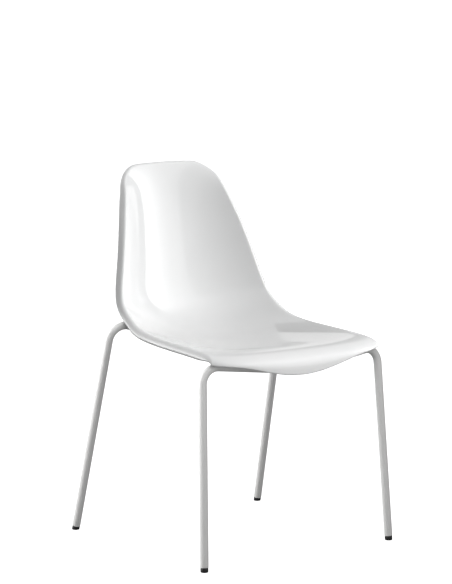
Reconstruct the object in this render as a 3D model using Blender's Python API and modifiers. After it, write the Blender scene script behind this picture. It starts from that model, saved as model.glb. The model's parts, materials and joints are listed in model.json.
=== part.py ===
"""Stacking chair: a one-piece moulded shell on a four-leg frame of round steel tube.

The chair faces -Y, +X is the sitter's left and +Z is up. The origin is on the floor,
midway between the four feet. All sizes are in metres.
"""

import math

import bmesh
import bpy
import numpy as np
from mathutils import Matrix, Vector

GAP = 0.0003  # clearance between touching pieces
OVERLAP = 0.001  # how far two shapes run into each other before they are joined
CUT_PAST = 0.002  # how far a cutting shape runs past the face it cuts

# Steel frame: two bent tubes joined by two flat rails
TUBE_RADIUS = 0.009
TUBE_WALL = 0.0015
TUBE_SIDES = 12
BEND_RADIUS = 0.035
DIP_BEND_RADIUS = 0.060
BEND_STEPS = 6
TUBE_END = 0.010  # height at which the tubes stop above the floor, along the leg

# Each tube's centreline, half of it: foot on the floor, top of the leg, end of the level middle
FRONT_ROUTE = ((0.249, -0.245, 0.0), (0.2333, -0.217, 0.4306), (0.070, -0.241, 0.413))
REAR_ROUTE = ((0.253, 0.245, 0.0), (0.2318, 0.1214, 0.4910), (0.092, 0.120, 0.4245))

# Flat rails, welded on the front tube and against the rear tube
RAIL_X = 0.050
RAIL_WIDTH = 0.022
RAIL_THICKNESS = 0.004
RAIL_FRONT_OVERHANG = 0.004
RAIL_EDGE = 0.0008
RAIL_BOTTOM = FRONT_ROUTE[2][2] + TUBE_RADIUS + GAP
RAIL_TOP = RAIL_BOTTOM + RAIL_THICKNESS

# Four fixing points, where the rails carry the shell
FIXING_Y = {"front": -0.130, "rear": 0.088}
PAD_RADIUS = 0.009
PAD_THICKNESS = 0.003
BOSS_RADIUS = 0.009
BOSS_BOTTOM = RAIL_TOP + PAD_THICKNESS + 2 * GAP
BOSS_SIDES = 24
BOSS_SINK = 0.003  # how far below the seat's upper surface a boss ends inside the wall
INSERT_RADIUS = 0.0045
INSERT_LENGTH = 0.0065
INSERT_START = 0.0003  # the insert sits this far up inside its hole
SCREW_RADIUS = 0.003
SCREW_LENGTH = 0.016
HEAD_RADIUS = 0.0055
HEAD_HEIGHT = 0.0033
HEAD_CROWN = 0.72  # the crown's radius as a share of the head's
SOCKET_RADIUS = 0.0023
SOCKET_DEPTH = 0.002
WASHER_RADIUS = 0.0065
WASHER_THICKNESS = 0.0012
WASHER_BOTTOM = RAIL_BOTTOM - GAP - WASHER_THICKNESS
SMALL_SIDES = 16

# Black foot glides, pushed into the tube ends
GLIDE_RADIUS = 0.0085
# the spigot clears the flats of the tube's faceted bore
SPIGOT_RADIUS = (TUBE_RADIUS - TUBE_WALL) * math.cos(math.pi / TUBE_SIDES) - GAP
SPIGOT_LENGTH = 0.018
GLIDE_BEVEL = 0.0006
GLIDE_BELOW = 0.006  # how far a glide runs below the floor before it is cut flat

# Stacking bumpers, clipped under the level middle of both tubes
BUMPER_X = 0.030
BUMPER_LENGTH = 0.016
BUMPER_BELOW = 0.0035
BUMPER_ABOVE = 0.003
BUMPER_WALL = 0.0028
BUMPER_EDGE = 0.002
BORE_SIDES = 24

# Shell: stations from the top of the back, down the spine and over the seat to the front
# edge. Each one gives the centre (y, z) and the side edge (x, y, z).
STATIONS = (
    (0.2592, 0.8110, 0.120, 0.2492, 0.8080),  # top edge
    (0.2465, 0.7355, 0.148, 0.2085, 0.7370),
    (0.2300, 0.6555, 0.172, 0.1760, 0.6575),  # shoulder blades
    (0.2170, 0.5800, 0.1915, 0.1550, 0.5830),  # waist
    (0.2020, 0.5150, 0.206, 0.1350, 0.5245),
    (0.1660, 0.4630, 0.2105, 0.0980, 0.4980),  # turn from back to seat
    (0.1050, 0.4410, 0.2155, 0.0540, 0.4795),
    (0.0300, 0.4370, 0.218, -0.0050, 0.4690),  # lowest part of the seat
    (-0.0600, 0.4380, 0.221, -0.0750, 0.4640),
    (-0.1500, 0.4430, 0.223, -0.1500, 0.4595),
    (-0.2150, 0.4470, 0.2245, -0.2050, 0.4535),  # front ridge
    (-0.2550, 0.4340, 0.2255, -0.2280, 0.4445),
    (-0.2670, 0.3970, 0.226, -0.2350, 0.4360),  # lower edge of the front lip
)
RIDGE = 10  # station number of the front ridge
LIP = 12  # station number of the lip's lower edge
SHELL_THICKNESS = 0.0055
DISH_POWER = 2.2  # how late the section turns up towards the sides
LIP_POWER = 6.0  # how square the front edge is in plan
TOP_CORNER = 0.047
ROLL_WIDTH = 0.011  # width of the rolled edge
ROLL_BACK = 0.004  # how far the edge rolls back around the back
ROLL_SEAT = 0.0155  # how far the edge rolls down along the seat
ROLL_GROWS = (4.0, 6.5)  # station numbers between which the roll deepens
ROLL_FADES = 1.5  # stations past the ridge over which the roll runs out

# Grid of the shell
COLUMNS = 15
RIM_COLUMNS = 2  # columns over each rolled edge
BODY_ROWS = 15
BODY_START = 1.2  # station number of the first row below the top corners
BODY_END = RIDGE - 0.5
LIP_ROWS = 6
TOP_ROLL_ANGLES = (0, 45, 90)
TOP_CORNER_ANGLES = (56, 72, 90)
SPINE_SAMPLES = 481
SEARCH_STEPS = 40
SEAT_START = 5.5  # station number where the search for a seat height begins

WHITE = (0.90, 0.90, 0.89)
ZINC = (0.55, 0.56, 0.57)
BRASS = (0.72, 0.55, 0.28)
BLACK = (0.015, 0.015, 0.016)
GREY = (0.25, 0.25, 0.26)


def material(name, colour, roughness, metallic=0.0):
    made = bpy.data.materials.new(name)
    made.use_nodes = True
    shader = made.node_tree.nodes["Principled BSDF"]
    shader.inputs["Base Color"].default_value = (*colour, 1.0)
    shader.inputs["Roughness"].default_value = roughness
    shader.inputs["Metallic"].default_value = metallic
    return made


def new_object(name, mesh, group, look=None):
    made = bpy.data.objects.new(name, mesh)
    group.objects.link(made)
    if look:
        mesh.materials.clear()
        mesh.materials.append(look)
    return made


def mesh_from(name, bm):
    mesh = bpy.data.meshes.new(name)
    bm.to_mesh(mesh)
    bm.free()
    return mesh


def add_cylinder(bm, radius, low, high, sides=SMALL_SIDES, top_radius=None):
    """A closed cylinder or cone along Z between two heights."""
    bmesh.ops.create_cone(
        bm,
        cap_ends=True,
        segments=sides,
        radius1=radius,
        radius2=radius if top_radius is None else top_radius,
        depth=high - low,
        matrix=Matrix.Translation((0, 0, (low + high) / 2)),
    )


def cylinder(name, radius, low, high, group, sides=SMALL_SIDES):
    bm = bmesh.new()
    add_cylinder(bm, radius, low, high, sides)
    return new_object(name, mesh_from(name, bm), group)


def boolean(target, tool, operation):
    step = target.modifiers.new(f"{operation.lower()} {tool.name}", "BOOLEAN")
    step.operation = operation
    step.solver = "EXACT"
    step.object = tool


def hide_tool(tool):
    tool.hide_render = True
    tool.display_type = "WIRE"


def apply_modifiers(target):
    """Replace the object's mesh by its evaluated shape."""
    graph = bpy.context.evaluated_depsgraph_get()
    shape = bpy.data.meshes.new_from_object(target.evaluated_get(graph))
    target.modifiers.clear()
    target.data = shape


def smooth(target, degrees=35):
    target.data.shade_smooth()
    target.data.set_sharp_from_angle(angle=math.radians(degrees))


def natural_spline(points):
    """A smooth curve through evenly numbered points, as a function of the number."""
    points = np.asarray(points, float)
    count = len(points)
    system = np.eye(count)
    right = np.zeros_like(points)
    for i in range(1, count - 1):
        system[i, i - 1 : i + 2] = (1, 4, 1)
        right[i] = 6 * (points[i - 1] - 2 * points[i] + points[i + 1])
    bend = np.linalg.solve(system, right)

    def at(place):
        i = min(max(int(place), 0), count - 2)
        f = place - i
        g = 1 - f
        straight = g * points[i] + f * points[i + 1]
        return straight + ((g**3 - g) * bend[i] + (f**3 - f) * bend[i + 1]) / 6

    return at


station = natural_spline(STATIONS)
SAMPLES = np.linspace(0, LIP, SPINE_SAMPLES)
SPINE = np.array([station(s)[:2] for s in SAMPLES])
STEPS = np.hypot(*np.diff(SPINE, axis=0).T)
DISTANCES = np.concatenate(([0.0], np.cumsum(STEPS)))  # along the spine from the top edge


def half_width(place):
    """Half the shell's width at a station, with the top corners rounded."""
    width = station(place)[2]
    down = np.interp(place, SAMPLES, DISTANCES)
    if down >= TOP_CORNER:
        return width
    return width - TOP_CORNER + math.sqrt(TOP_CORNER**2 - (TOP_CORNER - down) ** 2)


def edge_distance(place, x):
    """Distance from a point of the shell to its rounded outline."""
    width = station(place)[2]
    down = np.interp(place, SAMPLES, DISTANCES)
    corner = width - TOP_CORNER
    if down >= TOP_CORNER:
        return width - x
    if x <= corner:
        return down
    return TOP_CORNER - math.hypot(x - corner, TOP_CORNER - down)


def roll_drop(place, x):
    """How far the rolled edge falls away from the sitter."""
    into = 1 - max(edge_distance(place, x), 0.0) / ROLL_WIDTH
    if into <= 0:
        return 0.0
    start, end = ROLL_GROWS
    seat = min(max((place - start) / (end - start), 0), 1)
    depth = ROLL_BACK + (ROLL_SEAT - ROLL_BACK) * seat
    fade = 1 - min(max((place - RIDGE) / ROLL_FADES, 0), 1)
    return depth * fade * (1 - math.sqrt(max(1 - into**2, 0)))


def shell_point(place, x):
    """A point of the shell's upper surface, at a station number and a distance x off centre."""
    y_mid, z_mid, width, y_side, z_side = station(place)
    share = abs(x) / width
    rise_y = rise_z = share**DISH_POWER
    front = max((place - RIDGE) / (LIP - RIDGE), 0)
    if front > 0:
        rise_y += front * (share**LIP_POWER - rise_y)
        rise_z += front * ((1 - math.cos(math.pi * share)) / 2 - rise_z)
    away = Vector((0, y_mid - y_side, z_mid - z_side)).normalized()
    drop = away * roll_drop(place, abs(x))
    y = y_mid + (y_side - y_mid) * rise_y
    z = z_mid + (z_side - z_mid) * rise_z
    return Vector((x, y, z)) + drop


def seat_height(x, y):
    """Height of the seat's upper surface above a point of the floor plan."""
    low, high = SEAT_START, float(RIDGE)
    for _ in range(SEARCH_STEPS):
        middle = (low + high) / 2
        if shell_point(middle, x).y > y:
            low = middle
        else:
            high = middle
    return shell_point(low, x).z


def shell_rows():
    """Station numbers of the grid rows: close over the top edge and the front lip."""
    roll = [ROLL_WIDTH * (1 - math.cos(math.radians(a))) for a in TOP_ROLL_ANGLES]
    corner = [TOP_CORNER * (1 - math.cos(math.radians(a))) for a in TOP_CORNER_ANGLES]
    top = list(np.interp(roll + corner, DISTANCES, SAMPLES))
    body = list(np.linspace(BODY_START, BODY_END, BODY_ROWS))
    lip = list(np.linspace(RIDGE, LIP, LIP_ROWS))
    return top + body + lip


def column_offset(number, width):
    """Distance off centre of a grid column: even inside, bunched over the rolled edge."""
    inner = (COLUMNS - 1) // 2 - RIM_COLUMNS
    side = number - (COLUMNS - 1) // 2
    step = abs(side)
    if step <= inner:
        x = (width - ROLL_WIDTH) * step / inner
    else:
        turn = math.radians(90 * (step - inner) / RIM_COLUMNS)
        x = width - ROLL_WIDTH + ROLL_WIDTH * math.sin(turn)
    return math.copysign(x, side)


def make_shell(group, cutters, look):
    rows = shell_rows()
    bm = bmesh.new()
    bmesh.ops.create_grid(bm, x_segments=COLUMNS - 1, y_segments=len(rows) - 1, size=0.5)
    for vertex in bm.verts:
        column = round((vertex.co.x + 0.5) * (COLUMNS - 1))
        place = rows[round((0.5 - vertex.co.y) * (len(rows) - 1))]
        vertex.co = shell_point(place, column_offset(column, half_width(place)))
    bm.normal_update()
    if sum(face.normal.z for face in bm.faces) < 0:
        bmesh.ops.reverse_faces(bm, faces=bm.faces)
    shell = new_object("seat_shell", mesh_from("seat_shell", bm), group, look)
    wall = shell.modifiers.new("wall", "SOLIDIFY")
    wall.thickness = SHELL_THICKNESS
    wall.offset = -1.0
    wall.use_even_offset = True
    for side, x in (("left", RAIL_X), ("right", -RAIL_X)):
        for end, y in FIXING_Y.items():
            top = seat_height(abs(x), y) - BOSS_SINK
            boss = cylinder(
                f"boss_{end}_{side}", BOSS_RADIUS, BOSS_BOTTOM, top, cutters, BOSS_SIDES
            )
            boss.location = (x, y, 0)
            boolean(shell, boss, "UNION")
            hole_top = BOSS_BOTTOM + INSERT_START + INSERT_LENGTH + 3 * GAP
            hole_low = BOSS_BOTTOM - CUT_PAST
            hole = cylinder(
                f"hole_{end}_{side}", INSERT_RADIUS + GAP, hole_low, hole_top, cutters
            )
            hole.location = (x, y, 0)
            boolean(shell, hole, "DIFFERENCE")
            hide_tool(boss)
            hide_tool(hole)


def rounded_route(corners, radii, steps):
    """Points along a polyline whose corners are replaced by arcs."""
    points = [Vector(corners[0])]
    for before, here, after, radius in zip(corners, corners[1:], corners[2:], radii):
        here = Vector(here)
        back = (Vector(before) - here).normalized()
        on = (Vector(after) - here).normalized()
        half = back.angle(on) / 2
        centre = here + (back + on).normalized() * radius / math.sin(half)
        start = here + back * radius / math.tan(half)
        end = here + on * radius / math.tan(half)
        for i in range(steps + 1):
            ray = (start - centre).lerp(end - centre, i / steps).normalized()
            points.append(centre + ray * radius)
    points.append(Vector(corners[-1]))
    return points


def leg_axis(route):
    """Unit direction of a leg, from its foot upwards."""
    return (Vector(route[1]) - Vector(route[0])).normalized()


def make_tube(name, route, group, look):
    """An open-ended bent tube through both legs, mirrored about the middle."""
    foot, top, dip = (Vector(p) for p in route)
    end = foot + leg_axis(route) * TUBE_END
    half = [end, top, dip]
    other = [Vector((-p.x, p.y, p.z)) for p in reversed(half)]
    radii = (BEND_RADIUS, DIP_BEND_RADIUS, DIP_BEND_RADIUS, BEND_RADIUS)
    points = rounded_route(half + other, radii, BEND_STEPS)
    path = bpy.data.curves.new(name, "CURVE")
    path.dimensions = "3D"
    path.bevel_depth = TUBE_RADIUS
    path.bevel_resolution = (TUBE_SIDES - 4) // 2
    spline = path.splines.new("POLY")
    spline.points.add(len(points) - 1)
    for knot, point in zip(spline.points, points):
        knot.co = (*point, 1.0)
    curve = bpy.data.objects.new(f"{name}_path", path)
    group.objects.link(curve)
    graph = bpy.context.evaluated_depsgraph_get()
    shape = bpy.data.meshes.new_from_object(curve.evaluated_get(graph))
    place = curve.matrix_world.copy()
    bpy.data.objects.remove(curve)
    tube = new_object(name, shape, group, look)
    tube.matrix_world = place
    wall = tube.modifiers.new("wall", "SOLIDIFY")
    wall.thickness = TUBE_WALL
    wall.offset = -1.0
    smooth(tube)


def make_rail(side, x, group, cutters, look):
    """A flat bar on the front tube, ending against the rear tube, with two screw holes."""
    name = f"seat_rail_{side}"
    front = FRONT_ROUTE[2][1] - RAIL_FRONT_OVERHANG
    below_axis = REAR_ROUTE[2][2] - RAIL_TOP
    rear = REAR_ROUTE[2][1] - math.sqrt(TUBE_RADIUS**2 - below_axis**2) - GAP
    bm = bmesh.new()
    bmesh.ops.create_cube(bm, size=1.0)
    bmesh.ops.scale(bm, vec=(RAIL_WIDTH, rear - front, RAIL_THICKNESS), verts=bm.verts)
    rail = new_object(name, mesh_from(name, bm), group, look)
    rail.location = (x, (front + rear) / 2, RAIL_BOTTOM + RAIL_THICKNESS / 2)
    edge = rail.modifiers.new("edge", "BEVEL")
    edge.width = RAIL_EDGE
    edge.segments = 1
    for end, y in FIXING_Y.items():
        hole = cylinder(
            f"rail_hole_{end}_{side}",
            SCREW_RADIUS + GAP,
            RAIL_BOTTOM - CUT_PAST,
            RAIL_TOP + CUT_PAST,
            cutters,
        )
        hole.location = (x, y, 0)
        hide_tool(hole)
        boolean(rail, hole, "DIFFERENCE")


def ring(name, outer, inner, low, high, group, cutters, look):
    """A flat round piece with a hole through it."""
    body = cylinder(name, outer, low, high, group)
    body.data.materials.append(look)
    hole = cylinder(f"{name}_hole", inner, low - CUT_PAST, high + CUT_PAST, cutters)
    hide_tool(hole)
    boolean(body, hole, "DIFFERENCE")
    return body, hole


def make_screw(name, group, cutters, look):
    """A button-head screw pointing up, with a hexagon socket in its head."""
    head_top = WASHER_BOTTOM - GAP
    bm = bmesh.new()
    crown = HEAD_RADIUS * HEAD_CROWN
    add_cylinder(bm, crown, head_top - HEAD_HEIGHT, head_top, top_radius=HEAD_RADIUS)
    screw = new_object(name, mesh_from(name, bm), group, look)
    shank = cylinder(
        f"{name}_shank", SCREW_RADIUS, head_top - OVERLAP, head_top + SCREW_LENGTH, cutters
    )
    socket_low = head_top - HEAD_HEIGHT - CUT_PAST
    socket_high = head_top - HEAD_HEIGHT + SOCKET_DEPTH
    socket = cylinder(f"{name}_socket", SOCKET_RADIUS, socket_low, socket_high, cutters, 6)
    boolean(screw, shank, "UNION")
    boolean(screw, socket, "DIFFERENCE")
    hide_tool(shank)
    hide_tool(socket)
    return screw, shank, socket


def make_fixing(end, side, x, group, cutters, looks):
    """One screw with its washer, spacer pad and threaded insert."""
    y = FIXING_Y[end]
    place = f"{end}_{side}"
    pad_low = RAIL_TOP + GAP
    insert_low = BOSS_BOTTOM + INSERT_START
    hole = SCREW_RADIUS + GAP
    pieces = []
    pieces += ring(
        f"spacer_pad_{place}", PAD_RADIUS, hole + GAP, pad_low,
        pad_low + PAD_THICKNESS, group, cutters, looks["pad"],
    )
    pieces += ring(
        f"threaded_insert_{place}", INSERT_RADIUS, hole, insert_low,
        insert_low + INSERT_LENGTH, group, cutters, looks["brass"],
    )
    pieces += ring(
        f"washer_{place}", WASHER_RADIUS, hole, WASHER_BOTTOM,
        WASHER_BOTTOM + WASHER_THICKNESS, group, cutters, looks["zinc"],
    )
    pieces += make_screw(f"screw_{place}", group, cutters, looks["zinc"])
    for piece in pieces:
        piece.location = (x, y, 0)


def make_glide(name, route, mirror, group, cutters, floor, look):
    """A foot glide on the leg's own axis, cut flat at the floor, with a spigot in the tube."""
    shoulder = TUBE_END - GAP
    body = cylinder(name, GLIDE_RADIUS, -GLIDE_BELOW, shoulder, group)
    body.data.materials.append(look)
    spigot_low = shoulder - OVERLAP
    spigot = cylinder(
        f"{name}_spigot", SPIGOT_RADIUS, spigot_low, shoulder + SPIGOT_LENGTH, cutters
    )
    axis = leg_axis(route)
    foot = Vector(route[0])
    if mirror:
        axis.x = -axis.x
        foot.x = -foot.x
    turn = Vector((0, 0, 1)).rotation_difference(axis).to_matrix().to_4x4()
    for piece in (body, spigot):
        piece.matrix_world = Matrix.Translation(foot) @ turn
    boolean(body, spigot, "UNION")
    boolean(body, floor, "DIFFERENCE")
    edge = body.modifiers.new("edge", "BEVEL")
    edge.width = GLIDE_BEVEL
    edge.segments = 2
    edge.limit_method = "ANGLE"
    edge.angle_limit = math.radians(50)
    hide_tool(spigot)


def make_bumper(name, x, route, group, cutters, look):
    """A small clip under a tube, open at the top, that keeps stacked chairs apart."""
    y, z = route[2][1:]
    low = z - TUBE_RADIUS - BUMPER_BELOW
    high = z + BUMPER_ABOVE
    width = 2 * (TUBE_RADIUS + BUMPER_WALL)
    bm = bmesh.new()
    bmesh.ops.create_cube(bm, size=1.0)
    bmesh.ops.scale(bm, vec=(BUMPER_LENGTH, width, high - low), verts=bm.verts)
    bumper = new_object(name, mesh_from(name, bm), group, look)
    bumper.location = (x, y, (low + high) / 2)
    edge = bumper.modifiers.new("edge", "BEVEL")
    edge.width = BUMPER_EDGE
    edge.segments = 2
    # the facets of the bore stay clear of the tube
    bore_radius = (TUBE_RADIUS + GAP) / math.cos(math.pi / BORE_SIDES)
    bore = cylinder(
        f"{name}_bore", bore_radius, -BUMPER_LENGTH, BUMPER_LENGTH, cutters, BORE_SIDES
    )
    bore.rotation_euler = (0, math.radians(90), 0)
    bore.location = (x, y, z)
    hide_tool(bore)
    boolean(bumper, bore, "DIFFERENCE")


def build():
    for item in list(bpy.data.objects):
        bpy.data.objects.remove(item)
    chair = bpy.data.collections.new("stacking_chair")
    cutters = bpy.data.collections.new("cutters")
    bpy.context.scene.collection.children.link(chair)
    bpy.context.scene.collection.children.link(cutters)

    gloss = material("glossy moulded polymer", WHITE, 0.12)
    powder = material("powder-coated steel", WHITE, 0.35)
    looks = {
        "pad": material("grey spacer rubber", GREY, 0.7),
        "brass": material("brass insert", BRASS, 0.35, 1.0),
        "zinc": material("zinc-plated steel", ZINC, 0.35, 1.0),
    }
    nylon = material("black moulded nylon", BLACK, 0.5)
    clip = material("clear-white nylon", WHITE, 0.4)

    make_shell(chair, cutters, gloss)
    make_tube("front_leg_frame", FRONT_ROUTE, chair, powder)
    make_tube("rear_leg_frame", REAR_ROUTE, chair, powder)

    bm = bmesh.new()
    bmesh.ops.create_cube(bm, size=1.0, matrix=Matrix.Translation((0, 0, -0.5)))
    floor = new_object("floor_cut", mesh_from("floor_cut", bm), cutters)
    hide_tool(floor)

    for side, sign in (("left", 1), ("right", -1)):
        make_rail(side, sign * RAIL_X, chair, cutters, powder)
        for end, route in (("front", FRONT_ROUTE), ("rear", REAR_ROUTE)):
            make_fixing(end, side, sign * RAIL_X, chair, cutters, looks)
            make_glide(
                f"foot_glide_{end}_{side}", route, sign < 0, chair, cutters, floor, nylon
            )
            make_bumper(
                f"stacking_bumper_{end}_{side}", sign * BUMPER_X, route, chair, cutters, clip
            )


build()
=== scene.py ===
import json
import math

import bmesh
import bpy
import numpy as np
from mathutils import Matrix, Vector

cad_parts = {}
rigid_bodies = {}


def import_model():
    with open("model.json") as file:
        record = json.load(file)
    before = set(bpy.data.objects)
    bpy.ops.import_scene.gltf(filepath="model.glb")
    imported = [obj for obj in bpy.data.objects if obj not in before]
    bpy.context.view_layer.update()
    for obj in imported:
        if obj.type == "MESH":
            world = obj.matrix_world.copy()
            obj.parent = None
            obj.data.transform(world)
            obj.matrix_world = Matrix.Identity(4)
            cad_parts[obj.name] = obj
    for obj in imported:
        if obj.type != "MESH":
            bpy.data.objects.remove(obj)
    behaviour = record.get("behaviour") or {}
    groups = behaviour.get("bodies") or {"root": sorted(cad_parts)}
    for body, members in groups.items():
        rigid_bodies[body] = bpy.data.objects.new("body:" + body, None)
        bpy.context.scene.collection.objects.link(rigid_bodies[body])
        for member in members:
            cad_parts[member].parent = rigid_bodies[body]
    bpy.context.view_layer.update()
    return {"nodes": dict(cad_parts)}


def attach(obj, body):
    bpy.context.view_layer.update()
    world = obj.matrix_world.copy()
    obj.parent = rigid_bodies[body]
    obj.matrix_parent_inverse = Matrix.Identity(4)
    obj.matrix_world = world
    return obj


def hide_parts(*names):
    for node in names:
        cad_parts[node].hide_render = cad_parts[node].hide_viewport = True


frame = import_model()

print("frame loaded:", len(frame["nodes"]), "CAD nodes")

up = Vector((0, 0, 1))
gap = 0.0003  # clearance between touching pieces, as in the CAD
sharpAngle = math.radians(40)  # edges sharper than this stay crisp under smooth shading
colourA, colourB, colourOut = 6, 7, 2  # places of a Mix node's colour sockets, whose names repeat


def linear(hexColour):
    # sRGB hex to the linear colour that a shader socket takes
    channels = [int(hexColour[i:i + 2], 16) / 255 for i in (1, 3, 5)]
    return [c / 12.92 if c <= 0.04045 else ((c + 0.055) / 1.055) ** 2.4 for c in channels] + [1.0]


def addNode(tree, kind, sockets=None, **settings):
    # one node with its settings; a socket value may be a number, a colour or another node's output
    node = tree.nodes.new(kind)
    for key, value in settings.items():
        setattr(node, key, value)
    for name, value in (sockets or {}).items():
        if isinstance(value, bpy.types.NodeSocket):
            tree.links.new(value, node.inputs[name])
        else:
            node.inputs[name].default_value = value
    return node


def newMaterial(name, constants):
    # a Principled material; numbers that are the same all over sit on the shader's own sockets
    made = bpy.data.materials.new(name)
    made.use_nodes = True
    tree = made.node_tree
    shader = tree.nodes["Principled BSDF"]
    for socket, value in constants.items():
        shader.inputs[socket].default_value = value
    place = addNode(tree, "ShaderNodeTexCoord").outputs["Object"]
    return made, tree, shader, place


def meshObject(name, bm, look, shade=True):
    mesh = bpy.data.meshes.new(name)
    bm.to_mesh(mesh)
    bm.free()
    made = bpy.data.objects.new(name, mesh)
    bpy.context.scene.collection.objects.link(made)
    mesh.materials.append(look)
    if shade:
        mesh.shade_smooth()
        mesh.set_sharp_from_angle(angle=sharpAngle)
    return made


def finishPiece(piece, slotName, *nodes):
    # rides on the chair's one body and stands for the CAD nodes named
    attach(piece, "root")
    if nodes:
        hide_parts(*nodes)
    return piece


def outward(bm, merge=0.000005):
    # closes the seams and turns the faces outwards
    bmesh.ops.remove_doubles(bm, verts=bm.verts, dist=merge)
    bmesh.ops.recalc_face_normals(bm, faces=bm.faces)


def bevelEdges(bm, edges, width, segments):
    bmesh.ops.bevel(
        bm, geom=edges, offset=width, offset_type="OFFSET", affect="EDGES",
        segments=segments, profile=0.5, material=-1, clamp_overlap=True,
    )


def spinProfile(bm, points, steps=48):
    # a closed round solid from (radius, height) points that start and end on the axis or meet again
    corners = [bm.verts.new((radius, 0, height)) for radius, height in points]
    edges = [bm.edges.new(pair) for pair in zip(corners, corners[1:])]
    bmesh.ops.spin(
        bm, geom=corners + edges, cent=(0, 0, 0), axis=(0, 0, 1), dvec=(0, 0, 0),
        angle=math.tau, steps=steps, use_merge=True, use_duplicate=False,
    )
    outward(bm)


def boolean(target, tool, operation):
    # joins or cuts a piece with a tool, which is used up
    step = target.modifiers.new(operation.lower(), "BOOLEAN")
    step.operation = operation
    step.solver = "EXACT"
    step.object = tool
    graph = bpy.context.evaluated_depsgraph_get()
    shape = bpy.data.meshes.new_from_object(target.evaluated_get(graph))
    target.modifiers.clear()
    target.data = shape
    bpy.data.objects.remove(tool)


polymer = {
    "colour": "#ECECEC", "deep": "#E3E4E4", "roughness": (0.055, 0.085),
    "toneMm": 160.0, "peelMm": 7.0, "peelDepthMm": 0.02, "speckMm": 0.9,
}


def mouldedPolymer():
    # high-gloss injection-moulded ABS: mirror-like reflections, softly uneven where the melt flowed
    made, tree, shader, place = newMaterial(
        "glossMouldedPolymer", {"IOR": 1.52, "Coat Weight": 0.25, "Coat Roughness": 0.03}
    )
    tone = addNode(tree, "ShaderNodeTexNoise", {
        "Vector": place, "Scale": 1000 / polymer["toneMm"], "Detail": 2.0, "Roughness": 0.4})
    colour = addNode(tree, "ShaderNodeMix", {
        "Factor": tone.outputs["Fac"], colourA: linear(polymer["colour"]), colourB: linear(polymer["deep"])},
        data_type="RGBA")
    speck = addNode(tree, "ShaderNodeTexNoise", {
        "Vector": place, "Scale": 1000 / polymer["speckMm"], "Detail": 1.0})
    gloss = addNode(tree, "ShaderNodeMapRange", {
        "Value": speck.outputs["Fac"], "From Min": 0.35, "From Max": 0.75,
        "To Min": polymer["roughness"][0], "To Max": polymer["roughness"][1]})
    # faint waviness of the mould's polish
    peel = addNode(tree, "ShaderNodeTexNoise", {
        "Vector": place, "Scale": 1000 / polymer["peelMm"], "Detail": 1.0, "Roughness": 0.3})
    bump = addNode(tree, "ShaderNodeBump", {
        "Height": peel.outputs["Fac"], "Distance": polymer["peelDepthMm"] / 1000, "Strength": 0.35})
    tree.links.new(colour.outputs[colourOut], shader.inputs["Base Color"])
    tree.links.new(gloss.outputs["Result"], shader.inputs["Roughness"])
    tree.links.new(bump.outputs["Normal"], shader.inputs["Normal"])
    return made


powder = {
    "colour": "#E9E9E8", "scuffed": "#D2D2CF", "roughness": (0.30, 0.42),
    "peelMm": 1.6, "peelDepthMm": 0.04, "scuffMm": 9.0,
    "scuffHeight": 0.045, "scuffShare": 0.55,  # how far up from the floor, and how strong there
}


def powderCoat():
    # polyester powder coat on steel: satin, with fine orange peel, a little dulled close to the floor
    made, tree, shader, place = newMaterial("satinPowderCoatedSteel", {"IOR": 1.5})
    peel = addNode(tree, "ShaderNodeTexNoise", {
        "Vector": place, "Scale": 1000 / powder["peelMm"], "Detail": 2.0, "Roughness": 0.45})
    bump = addNode(tree, "ShaderNodeBump", {
        "Height": peel.outputs["Fac"], "Distance": powder["peelDepthMm"] / 1000, "Strength": 0.6})
    scuff = addNode(tree, "ShaderNodeTexNoise", {
        "Vector": place, "Scale": 1000 / powder["scuffMm"], "Detail": 5.0, "Roughness": 0.65})
    height = addNode(tree, "ShaderNodeSeparateXYZ", {"Vector": place})
    low = addNode(tree, "ShaderNodeMapRange", {
        "Value": height.outputs["Z"], "From Min": 0.0, "From Max": powder["scuffHeight"],
        "To Min": powder["scuffShare"], "To Max": 0.0})
    share = addNode(tree, "ShaderNodeMath", {0: scuff.outputs["Fac"], 1: low.outputs["Result"]},
                    operation="MULTIPLY")
    colour = addNode(tree, "ShaderNodeMix", {
        "Factor": share.outputs[0], colourA: linear(powder["colour"]), colourB: linear(powder["scuffed"])},
        data_type="RGBA")
    gloss = addNode(tree, "ShaderNodeMapRange", {
        "Value": scuff.outputs["Fac"], "To Min": powder["roughness"][0], "To Max": powder["roughness"][1]})
    tree.links.new(colour.outputs[colourOut], shader.inputs["Base Color"])
    tree.links.new(gloss.outputs["Result"], shader.inputs["Roughness"])
    tree.links.new(bump.outputs["Normal"], shader.inputs["Normal"])
    return made


grained = {
    # name: (colour, second colour, roughness range, grain in mm, bump depth in mm, constants)
    "blackMouldedNylon": ("#08080A", "#121214", (0.42, 0.60), 0.8, 0.03, {"IOR": 1.53}),
    "greySpacerRubber": ("#4A4B4D", "#3B3C3E", (0.62, 0.80), 0.6, 0.04, {"IOR": 1.5}),
    "naturalNylonClip": ("#DAD9D2", "#CFCEC6", (0.30, 0.45), 1.2, 0.02, {"IOR": 1.53}),
}


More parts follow.
